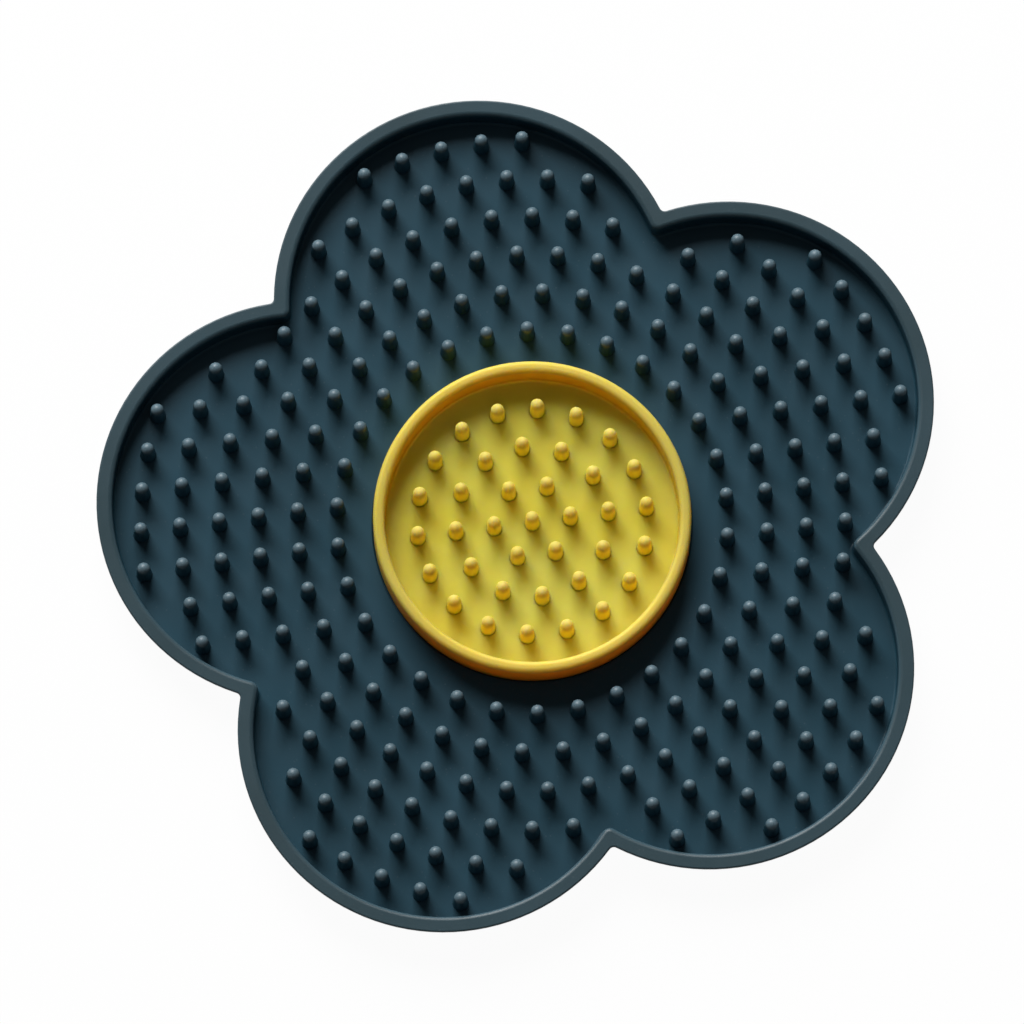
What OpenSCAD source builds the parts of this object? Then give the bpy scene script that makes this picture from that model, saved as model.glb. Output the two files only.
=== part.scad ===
// Flower-shaped lick mat: a dark silicone tray with raised rim and rings of licking nubs,
// and a round yellow silicone dish that sits in a shallow seat in the tray's middle.
// The origin is the middle of the nub rings, on the flat underside. One petal points to -Y.

/* [Tray outline] */
// Number of petals
petal_count = 5; // [5:1:7]
// Distance from the middle of the tray to the middle of a petal
petal_reach = 57.8; // [52:0.1:62]
// Radius of a petal at the outside of the rim
petal_r = 51.25; // [47:0.25:56]
// Width of the rim, with its rounded edges
rim_w = 3.95; // [2.5:0.05:5]
// Height of the rim above the tray's floor
rim_h = 7; // [4:0.5:12]
// Rounding of the rim's two top edges
rim_round = 0.7; // [0.2:0.1:1.1]
// How far the outside draws in between the top of the rim and the underside
rim_flare = 1.6; // [0.2:0.1:3]
// How far the wall's sharp tip inside each notch is cut back
tip_trim = 0.5; // [0.2:0.05:1.5]
// Thickness of the tray's floor
floor_t = 2.5; // [2:0.1:4]

/* [Dish] */
// Outer radius of the dish
dish_r = 39.75; // [34:0.25:42]
// Height of the dish from its underside to the top of its rim
dish_h = 11.5; // [8:0.5:16]
// Thickness of the dish's wall, whose top is a half round
dish_wall = 2.9; // [2:0.1:4]
// Thickness of the dish's floor
dish_floor_t = 2.3; // [1.5:0.1:4]
// Rounding between the dish's wall and its floor
dish_cove = 0.8; // [0.3:0.1:1.5]
// Depth of the seat in the tray's floor that holds the dish
seat_depth = 1; // [0.5:0.1:1.4]
// Radial play between the dish and its seat
seat_play = 0.3; // [0.2:0.05:0.6]

/* [Nubs] */
// Height of a nub above the floor that it stands on
nub_h = 8.8; // [5:0.1:12]
// Radius of a nub's domed tip
nub_r = 1.7; // [1.2:0.05:2.2]
// How much wider a nub's foot is than its tip, on the radius
nub_draft = 0.15; // [0.05:0.05:0.4]
// Distance between the tray's nub rings, and between the nubs along them
tray_pitch = 9.78; // [8:0.02:12]
// Distance between the dish's nub rings, and between the nubs along them
dish_pitch = 9.6; // [8:0.05:12]
// Least distance from a nub's middle to the wall around it
wall_room = 3.5; // [2.5:0.1:6]
// Least gap between the dish and the first ring of nubs around it
dish_room = 5; // [3:0.5:9]

/* [Hidden] */
tray_colour = "#2b3f4c";
dish_colour = "#e0c44a";
facets = 96;
nub_facets = 24;

// How far a cut runs past the face that it opens
overrun = 1;
// Nubs in the ring next to a pattern's middle; each ring outwards has as many more
ring_step = 6;
// The direction of the first petal, and of the first nub in every ring
first_petal_angle = -90;
first_nub_angle = 90;

rim_top = floor_t + rim_h;
basin_r = petal_r - rim_w;
seat_z = floor_t - seat_depth;
seat_r = dish_r + seat_play;
dish_inner_r = dish_r - dish_wall;
dish_floor_z = seat_z + dish_floor_t;
nub_foot_r = nub_r + nub_draft;

// How far from the tray's middle the walls of two petals would meet in the notch between them
notch_half_angle = 180 / petal_count;
notch_run = petal_reach * cos(notch_half_angle);
notch_rise = petal_reach * sin(notch_half_angle);
tip_reach = notch_run + sqrt(basin_r ^ 2 - notch_rise ^ 2);

function polar(r, angle) = r * [cos(angle), sin(angle)];
function petal_angle(i) = first_petal_angle + 360 * i / petal_count;
function petal_middle(i) = polar(petal_reach, petal_angle(i));

// Distance from a point of the tray to the wall, taken from the petal that holds it deepest
function room_in_tray(p) = max([for (i = [0:petal_count - 1]) basin_r - norm(p - petal_middle(i))]);
function room_in_dish(p) = dish_inner_r - norm(p);

// The places in one ring; the ring of number zero is the single place in the middle
function ring(number, pitch) = number == 0 ? [[0, 0]] :
    [for (j = [0:ring_step * number - 1]) polar(number * pitch, first_nub_angle + 360 * j / (ring_step * number))];

first_tray_ring = ceil((dish_r + dish_room + nub_foot_r) / tray_pitch);
last_tray_ring = floor((petal_reach + basin_r) / tray_pitch);
last_dish_ring = floor(dish_inner_r / dish_pitch);
tray_places = [for (n = [first_tray_ring:last_tray_ring]) for (p = ring(n, tray_pitch))
    if (room_in_tray(p) >= wall_room) p];
dish_places = [for (n = [0:last_dish_ring]) for (p = ring(n, dish_pitch))
    if (room_in_dish(p) >= wall_room) p];

module quarter_round(r) {
    intersection() {
        circle(r, $fn = facets);
        square(r);
    }
}

// One petal of the tray's outside: a flared round block with a rounded top edge
module petal_block() {
    round_z = rim_top - rim_round;
    rotate_extrude($fn = facets) {
        polygon([[0, 0], [petal_r - rim_flare, 0], [petal_r, round_z], [0, round_z]]);
        translate([0, round_z]) square([petal_r - rim_round, rim_round]);
        translate([petal_r - rim_round, round_z]) quarter_round(rim_round);
    }
}

// One petal of the basin inside the rim, which widens where it rounds the rim's inner edge
module petal_basin() {
    round_z = rim_top - rim_round;
    rotate_extrude($fn = facets) {
        translate([0, floor_t - overrun]) square([basin_r, rim_h + 2 * overrun]);
        difference() {
            translate([0, round_z]) square([basin_r + rim_round, rim_round + overrun]);
            translate([basin_r + rim_round, round_z]) circle(rim_round, $fn = facets);
        }
    }
}

module at_petals() {
    for (i = [0:petal_count - 1]) translate(petal_middle(i)) children();
}

// The tray's whole outside, from the underside to the top of the rim
module tray_outside() {
    at_petals() petal_block();
    cylinder(r = petal_reach, h = rim_top, $fn = facets);
}

// The room inside the rim, down past the level of the floor; the round middle blunts the tips
module tray_inside() {
    at_petals() petal_basin();
    translate([0, 0, floor_t - overrun])
        cylinder(r = tip_reach + tip_trim, h = rim_h + 2 * overrun, $fn = facets);
}

// A slab wider than the tray between two heights
module level(bottom, top) {
    half = petal_reach + petal_r + overrun;
    translate([-half, -half, bottom]) cube([2 * half, 2 * half, top - bottom]);
}

module nub() {
    dome_z = nub_h - nub_r;
    rotate_extrude($fn = nub_facets) {
        polygon([[0, 0], [nub_foot_r, 0], [nub_r, dome_z], [0, dome_z]]);
        translate([0, dome_z]) quarter_round(nub_r);
    }
}

module nubs(places, z) {
    for (p = places) translate([p[0], p[1], z]) nub();
}

// The tray's floor, with the seat that the dish stands in
module tray_base() {
    color(tray_colour) difference() {
        intersection() {
            tray_outside();
            level(-overrun, floor_t);
        }
        translate([0, 0, seat_z]) cylinder(r = seat_r, h = seat_depth + overrun, $fn = facets);
    }
}

module tray_rim() {
    color(tray_colour) difference() {
        intersection() {
            tray_outside();
            level(floor_t, rim_top + overrun);
        }
        tray_inside();
    }
}

module tray_nubs() {
    color(tray_colour) nubs(tray_places, floor_t);
}

// The dish's floor and wall, one round cup
module dish_shell() {
    top_r = dish_wall / 2;
    color(dish_colour) translate([0, 0, seat_z]) rotate_extrude($fn = facets) {
        square([dish_r, dish_floor_t]);
        translate([dish_inner_r, 0]) square([dish_wall, dish_h - top_r]);
        translate([dish_inner_r + top_r, dish_h - top_r]) circle(top_r, $fn = facets);
        difference() {
            translate([dish_inner_r - dish_cove, dish_floor_t]) square(dish_cove);
            translate([dish_inner_r - dish_cove, dish_floor_t + dish_cove]) circle(dish_cove, $fn = facets);
        }
    }
}

module dish_nubs() {
    color(dish_colour) nubs(dish_places, dish_floor_z);
}

tray_base();
tray_rim();
tray_nubs();
dish_shell();
dish_nubs();
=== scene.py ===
import math
import bpy
import bmesh
from mathutils import Matrix, Vector


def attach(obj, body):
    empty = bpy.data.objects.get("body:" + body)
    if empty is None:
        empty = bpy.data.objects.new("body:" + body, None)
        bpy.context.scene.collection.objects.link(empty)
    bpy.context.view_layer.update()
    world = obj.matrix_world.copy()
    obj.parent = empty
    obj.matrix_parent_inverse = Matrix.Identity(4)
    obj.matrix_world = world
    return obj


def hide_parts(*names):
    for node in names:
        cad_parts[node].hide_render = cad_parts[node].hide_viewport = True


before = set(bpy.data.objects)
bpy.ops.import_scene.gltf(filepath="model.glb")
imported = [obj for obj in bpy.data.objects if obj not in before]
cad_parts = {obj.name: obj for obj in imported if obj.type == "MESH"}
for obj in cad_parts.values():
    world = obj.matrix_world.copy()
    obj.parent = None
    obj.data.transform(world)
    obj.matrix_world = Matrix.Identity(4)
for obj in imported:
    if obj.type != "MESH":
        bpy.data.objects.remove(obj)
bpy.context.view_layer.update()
print("frame loaded")

# Shapes are modelled in millimetres and scaled to metres when they are finished
millimetre = 0.001
samePoint = 0.001    # points nearer than this, in millimetres, are one
flatFace = 0.9999    # faces whose normals are this upright are shaded flat
fullCircle = 360
up = Vector((0, 0, 1))
origin = Vector((0, 0, 0))


# Modelling steps that several pieces share

def direction(degrees):
    return Vector((math.cos(math.radians(degrees)), math.sin(math.radians(degrees)), 0))


def vertsOf(parts):
    return [part for part in parts if isinstance(part, bmesh.types.BMVert)]


def wireProfile(corners, segments=1):
    # Corners are (distance from the axis, height, rounding), in order along the outline
    bm = bmesh.new()
    verts = [bm.verts.new((reach, 0, height)) for reach, height, rounding in corners]
    for start, end in zip(verts, verts[1:]):
        bm.edges.new((start, end))
    runs = []
    for before, vert, after, corner in zip(verts, verts[1:], verts[2:], corners[1:]):
        turn = (vert.co - before.co).angle(after.co - vert.co)
        rounding = corner[2]
        if rounding:
            runs.append((vert, rounding * math.tan(turn / 2)))
    for vert, run in runs:
        bmesh.ops.bevel(bm, geom=[vert], offset=run, offset_type="OFFSET", segments=segments,
                        profile=0.5, affect="VERTICES", material=-1, clamp_overlap=False)
    return bm


def fullTurn(bm, steps):
    bmesh.ops.spin(bm, geom=bm.verts[:] + bm.edges[:], cent=origin, axis=up,
                   angle=math.tau, steps=steps, use_merge=True)
    bmesh.ops.remove_doubles(bm, verts=bm.verts, dist=samePoint)


def takeIn(bm, other):
    # Adds the other shape to this one and frees it
    carrier = bpy.data.meshes.new("carrier")
    other.to_mesh(carrier)
    other.free()
    bm.from_mesh(carrier)
    bpy.data.meshes.remove(carrier)


def openEdges(bm, height):
    return [edge for edge in bm.edges
            if edge.is_boundary and all(abs(vert.co.z - height) < samePoint for vert in edge.verts)]


def addObject(name, data):
    added = bpy.data.objects.new(name, data)
    bpy.context.collection.objects.link(added)
    return added


def finishPiece(bm, name, material, body, nodes, shadeWeight=1.0):
    bmesh.ops.recalc_face_normals(bm, faces=bm.faces)
    for face in bm.faces:
        face.smooth = abs(face.normal.z) < flatFace
    bmesh.ops.scale(bm, vec=(millimetre,) * 3, verts=bm.verts)
    openCount = sum(not edge.is_manifold for edge in bm.edges)
    print(name, len(bm.faces), "faces,", openCount, "open edges")
    mesh = bpy.data.meshes.new(name)
    bm.to_mesh(mesh)
    bm.free()
    # Steep faces and nub sides carry painted shade in the material, slim nubs less of it
    steepness = mesh.attributes.new("steepness", "FLOAT", "POINT")
    steepness.data.foreach_set(
        "value", [shadeWeight * (1 - vert.normal.z ** 2) for vert in mesh.vertices])
    mesh.materials.append(material)
    piece = addObject(name, mesh)
    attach(piece, body)
    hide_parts(*nodes)


# Steps in a material's nodes

def addNode(tree, kind, place, **values):
    node = tree.nodes.new(kind)
    node.location = place
    for name, value in values.items():
        if name in node.inputs:
            node.inputs[name].default_value = value
        else:
            setattr(node, name, value)
    return node


def noise(tree, place, coordinates, scale, detail):
    node = addNode(tree, "ShaderNodeTexNoise", place, Scale=scale, Detail=detail)
    tree.links.new(coordinates, node.inputs["Vector"])
    return node.outputs["Fac"]


def mapSpan(tree, place, value, given, wanted):
    # Carries a value from the given span to the wanted one, and no further than its ends
    node = addNode(tree, "ShaderNodeMapRange", place)
    for socket, end in zip(("From Min", "From Max", "To Min", "To Max"), given + wanted):
        node.inputs[socket].default_value = end
    tree.links.new(value, node.inputs["Value"])
    return node.outputs["Result"]


def colourRamp(tree, place, value, stops):
    # Stops are (position, colour), in order
    node = addNode(tree, "ShaderNodeValToRGB", place)
    elements = node.color_ramp.elements
    while len(elements) < len(stops):
        elements.new(1)
    for element, (position, colour) in zip(elements, stops):
        element.position = position
        element.color = colour
    tree.links.new(value, node.inputs["Fac"])
    return node


def layOver(tree, place, under, over, share):
    # The upper colour is a plain one or comes from another node
    node = addNode(tree, "ShaderNodeMix", place, data_type="RGBA")
    tree.links.new(under, node.inputs["A"])
    tree.links.new(share, node.inputs["Factor"])
    if isinstance(over, tuple):
        node.inputs["B"].default_value = over
    else:
        tree.links.new(over, node.inputs["B"])
    return node.outputs["Result"]


def bump(tree, place, height, strength, depth):
    node = addNode(tree, "ShaderNodeBump", place, Strength=strength, Distance=depth)
    tree.links.new(height, node.inputs["Height"])
    return node


# Silicone: navy for the tray, yellow for the dish, each with a look of its own for the nubs

silicone = {
    "ior": 1.45,
    "cloudDetail": 3.0,
    "cloudSpan": (0.35, 0.65),    # noise that gives the dark and the light tone
    # painted shade on steep faces begins and is full at these steepnesses
    "steepSpan": (0.25, 0.95),    # steepness at which a wall's tone begins, and is full
    "dustScale": 420.0,
    "dustReach": 0.12,            # radius of a speck, as a share of its cell
    "dustShare": 0.10,
    "patchScale": 70.0,
    "patchDetail": 4.0,
    "patchSpan": (0.3, 0.7),      # noise that gives the lowest and the highest roughness
    "waveScale": 110.0,
    "waveDetail": 1.0,
    "waveDepth": 0.00012,
    "grainScale": 3200.0,
    "grainDetail": 2.0,
    "grainDepth": 0.00004,
    "bumpStrength": 0.5,
}
# Stops of the tone painted by height, which is painted light, are (height in metres, tone, share of
# the tone)
navyLook = {
    **silicone,
    "dark": (0.0148, 0.0520, 0.0755, 1),
    "light": (0.0208, 0.0645, 0.0930, 1),
    "cloudScale": 26.0,
    # painted shade: the deeper tone that steep faces take
    "wall": (0.010, 0.036, 0.050, 1),
    "wallShadeShare": 0.5,
    # painted highlight on the rim's inner edge and painted sheen on the rim top
    "paintedLight": ((0.0083, (0.50, 0.56, 0.57), 0),
               (0.0090, (0.50, 0.56, 0.57), 0.06),
               (0.0094, (0.15, 0.09, 0.01), 0.12)),
    "dust": (0.30, 0.33, 0.35, 1),
    "roughness": (0.34, 0.41),
    "specular": 0.32,
    "depth": 0.0006,              # how far light travels in the silicone, in metres
    "depthShare": 0.1,
    "depthColour": (0.5, 0.8, 1.0),
}
navyNubLook = {
    **navyLook,
    # painted highlight on the nub tips
    "paintedLight": ((0.0095, (0.85, 0.97, 1.0), 0),
               (0.0106, (0.85, 0.97, 1.0), 0.085)),
}
yellowLook = {
    **silicone,
    "dark": (0.84, 0.602, 0.065, 1),
    "light": (0.93, 0.680, 0.114, 1),
    "cloudScale": 30.0,
    # painted shade: the deep orange tone that steep faces take
    "wall": (0.54, 0.355, 0.008, 1),
    "wallShadeShare": 0.9,
    # painted shade that dulls the highlight on the rim top
    "paintedLight": ((0.0106, (0.38, 0.34, 0.10), 0),
               (0.0116, (0.38, 0.34, 0.10), 0.60)),
    "dust": (0.75, 0.68, 0.40, 1),
    "roughness": (0.38, 0.48),
    "specular": 0.18,
    "depth": 0.0085,
    "depthShare": 1.0,
    "depthColour": (1.0, 0.72, 0.12),
}
yellowNubLook = {
    **yellowLook,
    # painted shade: the tone that the nubs' sides take
    "wall": (0.50, 0.45, 0.015, 1),
    # painted shade that dulls the highlight on the nub tips
    "paintedLight": ((0.0106, (0.34, 0.31, 0.12), 0),
               (0.0120, (0.34, 0.31, 0.12), 0.70)),
}


def siliconeMaterial(name, look):
    material = bpy.data.materials.new(name)
    material.use_nodes = True
    material.diffuse_color = look["light"]
    tree = material.node_tree
    link = tree.links.new
    surface = tree.nodes["Principled BSDF"]
    surface.inputs["IOR"].default_value = look["ior"]
    surface.inputs["Specular IOR Level"].default_value = look["specular"]
    surface.inputs["Subsurface Weight"].default_value = look["depthShare"]
    surface.inputs["Subsurface Radius"].default_value = look["depthColour"]
    surface.inputs["Subsurface Scale"].default_value = look["depth"]
    coordinates = addNode(tree, "ShaderNodeTexCoord", (-1200, 0)).outputs["Object"]

    # Slow change of tone through the moulding
    cloud = noise(tree, (-950, 250), coordinates, look["cloudScale"], look["cloudDetail"])
    toneStops = list(zip(look["cloudSpan"], (look["dark"], look["light"])))
    tone = colourRamp(tree, (-700, 250), cloud, toneStops)

    # Steep faces are painted a deeper tone: painted shade on walls and nub sides
    steep = addNode(tree, "ShaderNodeAttribute", (-950, 800), attribute_name="steepness")
    wallShadeShare = mapSpan(tree, (-700, 800), steep.outputs["Fac"], look["steepSpan"],
                        (0, look["wallShadeShare"]))
    wallShaded = layOver(tree, (-550, 400), tone.outputs["Color"], look["wall"], wallShadeShare)

    # Fine dust that silicone always holds
    dust = addNode(tree, "ShaderNodeTexVoronoi", (-950, -50), Scale=look["dustScale"])
    link(coordinates, dust.inputs["Vector"])
    dustShare = mapSpan(tree, (-700, -50), dust.outputs["Distance"], (0, look["dustReach"]),
                        (look["dustShare"], 0))
    dusty = layOver(tree, (-400, 150), wallShaded, look["dust"], dustShare)

    # Rim tops, the rim's inner edge and nub tips get painted light by height: a paler painted
    # highlight and sheen on the navy, and a duller painted shade that tones down the highlight on
    # the yellow; the ramp's alpha is the share
    height = addNode(tree, "ShaderNodeSeparateXYZ", (-1200, 550))
    link(coordinates, height.inputs["Vector"])
    lowest, highest = look["paintedLight"][0][0], look["paintedLight"][-1][0]
    climb = mapSpan(tree, (-950, 550), height.outputs["Z"], (lowest, highest), (0, 1))
    paintedLightStops = [((level - lowest) / (highest - lowest), (*paintedLightTone, share))
                   for level, paintedLightTone, share in look["paintedLight"]]
    paintedLight = colourRamp(tree, (-700, 550), climb, paintedLightStops)
    withPaintedLight = layOver(tree, (-200, 300), dusty, paintedLight.outputs["Color"], paintedLight.outputs["Alpha"])
    link(withPaintedLight, surface.inputs["Base Color"])

    # Satin patches left by the mould
    patch = noise(tree, (-950, -350), coordinates, look["patchScale"], look["patchDetail"])
    gloss = mapSpan(tree, (-700, -350), patch, look["patchSpan"], look["roughness"])
    link(gloss, surface.inputs["Roughness"])

    # The mould's fine grain, over a very slight unevenness
    wave = noise(tree, (-950, -950), coordinates, look["waveScale"], look["waveDetail"])
    grain = noise(tree, (-950, -650), coordinates, look["grainScale"], look["grainDetail"])
    waveBump = bump(tree, (-650, -900), wave, look["bumpStrength"], look["waveDepth"])
    grainBump = bump(tree, (-400, -650), grain, look["bumpStrength"], look["grainDepth"])
    link(waveBump.outputs["Normal"], grainBump.inputs["Normal"])
    link(grainBump.outputs["Normal"], surface.inputs["Normal"])
    return material


navySilicone = siliconeMaterial("navySilicone", navyLook)
navyNubSilicone = siliconeMaterial("navyNubSilicone", navyNubLook)
yellowSilicone = siliconeMaterial("yellowSilicone", yellowLook)
yellowNubSilicone = siliconeMaterial("yellowNubSilicone", yellowNubLook)
print("silicone mixed")


# Tray: floor and raised rim, one moulding shaped like a five-petalled flower

tray = {
    "petals": 5,
    "petalReach": 57.8,     # the tray's middle to a petal's middle
    "petalRadius": 51.25,   # outside of the rim
    "firstPetal": -90,      # its direction in degrees
    "wall": 3.95,
    "rimTop": 9.5,
    "floorTop": 2.5,
    "flare": 1.6,           # how far the outside draws in towards the underside
    "upright": 0.8,         # strip of the outside above the flare
    "uprightRound": 0.4,
    "outerEdge": 0.4,       # rounding of the rim's top edges
    "innerEdge": 1.15,
    "footRound": 0.6,
    "cove": 0.8,            # wall to floor
    # Flat end of a profile past one of its roundings, in radii, which gives the bevel room
    "endRadii": {"footRound": 2.0, "outerEdge": 1.2, "innerEdge": 1.1, "cove": 1.2},
    "notchRound": 1.3,      # outside, between two petals
    "tipRound": 2.1,        # inside, on the wall's tip
    # Rings of (radius, height) from the open edge inwards
    "seat": ((40.3, 2.5), (40.15, 2.45), (40.05, 2.3), (40.05, 1.7), (40.0, 1.55),
             (39.85, 1.5), (15, 1.5)),
    "underside": ((70, 0), (30, 0)),
    "petalSteps": 48,
    "notchSteps": 8,
    "roundSteps": 5,
}


def petalAngle(number):
    return tray["firstPetal"] + number * fullCircle / tray["petals"]


def petalMiddle(number):
    return direction(petalAngle(number)) * tray["petalReach"]


def sweepPetals(bm, radius, notchRound):
    # Carries a profile, given from a petal's middle, once around the whole flower
    halfGap = math.pi / tray["petals"]
    run = tray["petalReach"] * math.cos(halfGap)
    rise = tray["petalReach"] * math.sin(halfGap)
    notchReach = run + math.sqrt((radius + notchRound) ** 2 - rise ** 2)
    petalHalf = math.atan2(notchReach * math.sin(halfGap),
                           notchReach * math.cos(halfGap) - tray["petalReach"])
    notchTurn = 2 * math.atan2(rise, notchReach - run)
    start = Matrix.Rotation(math.radians(tray["firstPetal"]) - petalHalf, 3, "Z")
    bmesh.ops.rotate(bm, cent=origin, matrix=start, verts=bm.verts)
    bmesh.ops.translate(bm, vec=petalMiddle(0), verts=bm.verts)
    strip = bm.verts[:] + bm.edges[:]
    for i in range(tray["petals"]):
        notchMiddle = direction(petalAngle(i + 0.5)) * notchReach
        turns = ((petalMiddle(i), 2 * petalHalf, tray["petalSteps"]),
                 (notchMiddle, -notchTurn, tray["notchSteps"]))
        for middle, turn, steps in turns:
            swept = bmesh.ops.spin(bm, geom=strip, cent=middle, axis=up, angle=turn, steps=steps)
            strip = swept["geom_last"]
    bmesh.ops.remove_doubles(bm, verts=bm.verts, dist=samePoint)


def drawIn(bm, edges, rings):
    # Carries an open loop inwards over the rings, and closes it in the middle
    for radius, height in rings + ((0, rings[-1][1]),):
        grown = bmesh.ops.extrude_edge_only(bm, edges=edges)["geom"]
        verts = vertsOf(grown)
        edges = [part for part in grown
                 if isinstance(part, bmesh.types.BMEdge) and part.is_boundary]
        for vert in verts:
            vert.co = vert.co.xy.normalized().to_3d() * radius + up * height
    bmesh.ops.remove_doubles(bm, verts=verts, dist=samePoint)


def endRun(rounding):
    return tray["endRadii"][rounding] * tray[rounding]


def buildTrayShell():
    top, floorTop = tray["rimTop"], tray["floorTop"]
    outer = tray["petalRadius"]
    inner = outer - tray["wall"]
    foot = outer - tray["flare"]
    bm = wireProfile([(foot - endRun("footRound"), 0, 0),
                      (foot, 0, tray["footRound"]),
                      (outer, top - tray["upright"], tray["uprightRound"]),
                      (outer, top, tray["outerEdge"]),
                      (outer - endRun("outerEdge"), top, 0)], tray["roundSteps"])
    sweepPetals(bm, outer, tray["notchRound"])
    inside = wireProfile([(inner + endRun("innerEdge"), top, 0),
                          (inner, top, tray["innerEdge"]),
                          (inner, floorTop, tray["cove"]),
                          (inner - endRun("cove"), floorTop, 0)], tray["roundSteps"])
    sweepPetals(inside, inner, tray["tipRound"])
    takeIn(bm, inside)
    bmesh.ops.bridge_loops(bm, edges=openEdges(bm, top))
    drawIn(bm, openEdges(bm, floorTop), tray["seat"])
    drawIn(bm, openEdges(bm, 0), tray["underside"])
    finishPiece(bm, "trayShell", navySilicone, "tray", ["tray_base", "tray_rim"])


# Dish: a loose round cup with a rolled rim

dish = {
    "radius": 39.75,
    "wall": 2.9,
    "bottom": 1.5,       # height of the seat that it stands in
    "height": 11.5,
    "floor": 2.3,
    "cove": 0.8,
    "rimRound": 1.1,
    "footRound": 0.5,
    "steps": 128,
    "roundSteps": 6,
}


def buildDishCup():
    bottom, outer, rimRound = dish["bottom"], dish["radius"], dish["rimRound"]
    inner = outer - dish["wall"]
    top = bottom + dish["height"]
    floorTop = bottom + dish["floor"]
    halfway = outer / 2      # a ring there keeps the round faces from becoming slivers
    bm = wireProfile([(0, bottom, 0), (halfway, bottom, 0),
                      (outer, bottom, dish["footRound"]),
                      (outer, top, rimRound), (inner, top, rimRound),
                      (inner, floorTop, dish["cove"]),
                      (halfway, floorTop, 0), (0, floorTop, 0)], dish["roundSteps"])
    fullTurn(bm, dish["steps"])
    finishPiece(bm, "dishCup", yellowSilicone, "dish", ["dish_shell"])


# Nubs: rings around the middle of the tray and of the dish, wherever the walls leave room

nub = {
    "height": 8.8,
    "tipRadius": 1.7,
    "draft": 0.25,
    "foot": 0.2,            # fillet at the floor
    "sink": 0.1,            # how far the foot reaches into the floor
    "domeTilts": (32, 62),  # where the dome's rings lie, in degrees up from its edge
    "sides": 12,
    # share of the painted wall shade that a nub's side takes
    "shadeWeight": 0.7,      # how far a nub's side takes the wall's tone
    "ringStep": 6,          # how many more nubs each ring has than the one inside it
    "firstAngle": 90,
    "trayPitch": 9.78,
    "dishPitch": 9.6,
    "wallRoom": 3.5,        # least distance from a nub's middle to the wall
    "dishRoom": 5.0,        # least gap between the dish and the first ring around it
}


def roomInTray(place):
    inner = tray["petalRadius"] - tray["wall"]
    return max(inner - (place - petalMiddle(i)).length for i in range(tray["petals"]))


def roomInDish(place):
    return dish["radius"] - dish["wall"] - place.length


def ringPlaces(number, pitch):
    if number == 0:
        return [origin]
    count = nub["ringStep"] * number
    return [direction(nub["firstAngle"] + fullCircle * i / count) * number * pitch
            for i in range(count)]


def nubPlaces(start, end, pitch, roomAt):
    # Places on the rings between two distances from the middle
    rings = range(math.ceil(start / pitch), math.ceil(end / pitch))
    return [place for number in rings for place in ringPlaces(number, pitch)
            if roomAt(place) >= nub["wallRoom"]]


def buildNubs(name, places, floorTop, material, body, node):
    radius, height = nub["tipRadius"], nub["height"]
    footRadius = radius + nub["draft"]
    dome = height - radius
    rings = [direction(tilt) * radius for tilt in nub["domeTilts"]]
    bm = wireProfile([(footRadius + nub["foot"], -nub["sink"], 0),
                      (footRadius, nub["foot"], 0),
                      (radius, dome, 0),
                      *[(ring.x, dome + ring.y, 0) for ring in rings],
                      (0, height, 0)])
    fullTurn(bm, nub["sides"])
    bmesh.ops.holes_fill(bm, edges=openEdges(bm, -nub["sink"]), sides=0)
    pattern = bm.verts[:] + bm.edges[:] + bm.faces[:]
    for place in places[1:]:
        copied = bmesh.ops.duplicate(bm, geom=pattern)["geom"]
        bmesh.ops.translate(bm, vec=place + up * floorTop, verts=vertsOf(copied))
    bmesh.ops.translate(bm, vec=places[0] + up * floorTop, verts=vertsOf(pattern))
    print(name, len(places), "nubs")
    finishPiece(bm, name, material, body, [node], nub["shadeWeight"])


trayPlaces = nubPlaces(dish["radius"] + nub["dishRoom"] + nub["tipRadius"] + nub["draft"],
                       tray["petalReach"] + tray["petalRadius"] - tray["wall"],
                       nub["trayPitch"], roomInTray)
dishPlaces = nubPlaces(0, dish["radius"] - dish["wall"], nub["dishPitch"], roomInDish)
buildTrayShell()
buildNubs("trayNubs", trayPlaces, tray["floorTop"], navyNubSilicone,
          "tray", "tray_nubs")
buildDishCup()
buildNubs("dishNubs", dishPlaces, dish["bottom"] + dish["floor"], yellowNubSilicone,
          "dish", "dish_nubs")
print("pieces built")


# Studio: pale floor, one large soft light from the far side and a little left, a weak fill

white = (1, 1, 1, 1)
studio = {
    "floorSize": 3.0,
    "floorGap": 0.0002,           # keeps the floor's face off the tray's flat underside
    "floorColour": (0.85, 0.85, 0.85, 1),
    "floorGlow": 1.0,             # 1 is seen as white
    "floorShadow": 0.04,          # how much of the real shading the white floor keeps
    "keyBearing": 130,
    "keyHeight": 34.0,            # degrees above the floor
    "keyDistance": 3.0,
    "keySize": 2.5,
    "keyPower": 170.0,
    "fill": 0.08,
}
view = {
    "aim": (-0.00590, 0.00105, 0.0025),
    "azimuth": 22.5,
    "elevation": 78.3,
    "distance": 3.38,
    "lens": 474.8,
    "sensor": 36,
    "farthest": 20,     # metres that the camera sees
}


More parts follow.
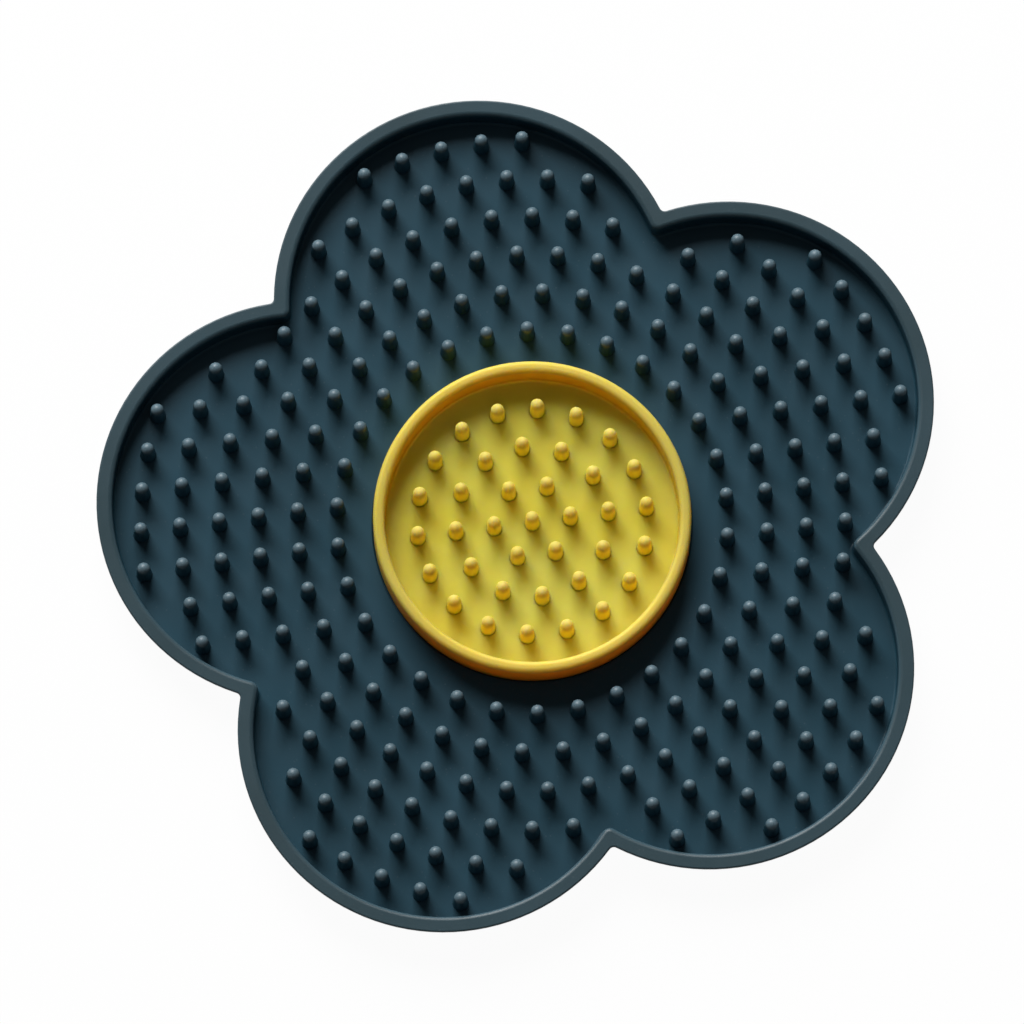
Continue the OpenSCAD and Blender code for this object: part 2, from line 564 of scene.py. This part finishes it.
def paperMaterial():
    # White to the camera and in reflections, plain paper to the light that reaches the object
    material = bpy.data.materials.new("whitePaper")
    material.use_nodes = True
    tree = material.node_tree
    link = tree.links.new
    tree.nodes.remove(tree.nodes["Principled BSDF"])
    paper = addNode(tree, "ShaderNodeBsdfDiffuse", (-500, 0), Color=studio["floorColour"])
    glow = addNode(tree, "ShaderNodeEmission", (-500, -200), Color=white,
                   Strength=studio["floorGlow"])
    rays = addNode(tree, "ShaderNodeLightPath", (-900, 300))
    seen = addNode(tree, "ShaderNodeMath", (-700, 300), operation="MAXIMUM")
    seenAny = addNode(tree, "ShaderNodeMath", (-500, 300), operation="MAXIMUM")
    share = addNode(tree, "ShaderNodeMath", (-300, 300), operation="MULTIPLY")
    share.inputs[1].default_value = 1 - studio["floorShadow"]
    blend = addNode(tree, "ShaderNodeMixShader", (-100, 0))
    link(rays.outputs["Is Camera Ray"], seen.inputs[0])
    link(rays.outputs["Is Glossy Ray"], seen.inputs[1])
    link(seen.outputs[0], seenAny.inputs[0])
    link(rays.outputs["Is Transmission Ray"], seenAny.inputs[1])
    link(seenAny.outputs[0], share.inputs[0])
    link(share.outputs[0], blend.inputs["Fac"])
    link(paper.outputs[0], blend.inputs[1])
    link(glow.outputs[0], blend.inputs[2])
    link(blend.outputs[0], tree.nodes["Material Output"].inputs["Surface"])
    return material


def buildFloor():
    bm = bmesh.new()
    bmesh.ops.create_grid(bm, x_segments=1, y_segments=1, size=studio["floorSize"] / 2)
    bmesh.ops.translate(bm, vec=-up * studio["floorGap"], verts=bm.verts)
    mesh = bpy.data.meshes.new("studioFloor")
    bm.to_mesh(mesh)
    bm.free()
    mesh.materials.append(paperMaterial())
    floor = addObject("studioFloor", mesh)


def raised(bearing, height):
    # Direction towards a bearing and a height above the floor, both in degrees
    lift = math.radians(height)
    return direction(bearing) * math.cos(lift) + up * math.sin(lift)


def aimed(thing, place, target):
    thing.location = place
    thing.rotation_euler = (place - target).to_track_quat("Z", "Y").to_euler()


def buildKey():
    lamp = bpy.data.lights.new("softbox", "AREA")
    lamp.shape = "DISK"
    lamp.size = studio["keySize"]
    lamp.energy = studio["keyPower"]
    towards = raised(studio["keyBearing"], studio["keyHeight"])
    aimed(addObject("softbox", lamp), towards * studio["keyDistance"], origin)


def buildFill():
    world = bpy.data.worlds.new("studio")
    bpy.context.scene.world = world
    world.use_nodes = True
    background = world.node_tree.nodes["Background"]
    background.inputs["Color"].default_value = white
    background.inputs["Strength"].default_value = studio["fill"]


def buildCamera():
    lens = bpy.data.cameras.new("camera")
    lens.lens = view["lens"]
    lens.sensor_width = view["sensor"]
    lens.clip_end = view["farthest"]
    camera = addObject("camera", lens)
    back = raised(view["azimuth"] - 90, view["elevation"])
    target = Vector(view["aim"])
    aimed(camera, target + back * view["distance"], target)
    bpy.context.scene.camera = camera


buildFloor()
buildKey()
buildFill()
buildCamera()
bpy.context.scene.view_settings.view_transform = "Standard"
print("studio ready")
